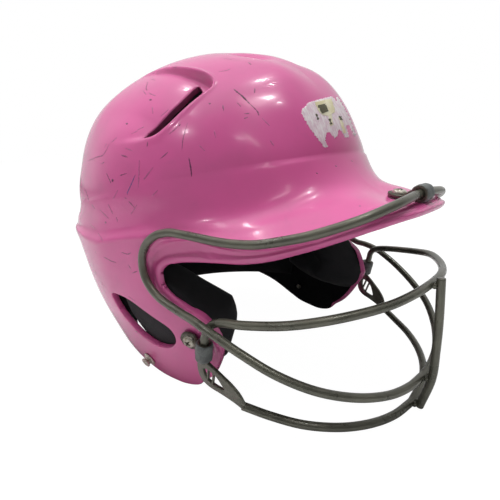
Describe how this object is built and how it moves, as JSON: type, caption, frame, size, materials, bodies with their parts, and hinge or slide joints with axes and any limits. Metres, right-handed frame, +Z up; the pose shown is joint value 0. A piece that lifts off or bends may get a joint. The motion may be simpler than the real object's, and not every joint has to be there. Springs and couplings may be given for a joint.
{
  "type": "batting helmet with face mask",
  "caption": "Batting helmet with a bill, two ear flaps and a coated wire face guard held by screwed clips over dark foam pads.",
  "frame": {"origin": "centre of the bounding box in plan, on the surface that the helmet rests on", "axes": "+Z up; the bill and the face guard point to -Y and the back of the head to +Y; the wearer's left is +X; the helmet is mirror symmetric about the plane X = 0"},
  "size_m": [0.212, 0.302, 0.2171],
  "materials": {
    "shell_plastic": "moulded gloss, scuffed",
    "foam": "closed-cell foam, matte",
    "coated_wire": "thick satin coating on steel rod",
    "coated_plate": "thick satin coating on sheet steel",
    "strap_steel": "dull, slightly tarnished",
    "vinyl": "soft vinyl, satin",
    "plated_steel": "nickel plated"
  },
  "bodies": {
    "root": {"shell": "shell_plastic", "crown_pad": "foam", "front_pad": "foam", "rear_pad": "foam", "side_pad_left": "foam", "side_pad_right": "foam", "ear_pad_left": "foam", "ear_pad_right": "foam", "guard_main_loop": "coated_wire", "guard_eye_bar": "coated_wire", "guard_chin_bar": "coated_wire", "guard_centre_post": "coated_wire", "cheek_plate_left": "coated_plate", "cheek_plate_right": "coated_plate", "clip_bill": "strap_steel", "clip_left": "strap_steel", "clip_right": "strap_steel", "sleeve_bill": "vinyl", "sleeve_left": "vinyl", "sleeve_right": "vinyl", "screw_bill": "plated_steel", "screw_left": "plated_steel", "screw_right": "plated_steel", "nut_bill": "plated_steel", "nut_left": "plated_steel", "nut_right": "plated_steel", "stud_left": "plated_steel", "stud_right": "plated_steel", "stud_washer_left": "plated_steel", "stud_washer_right": "plated_steel"}
  },
  "joints": []
}
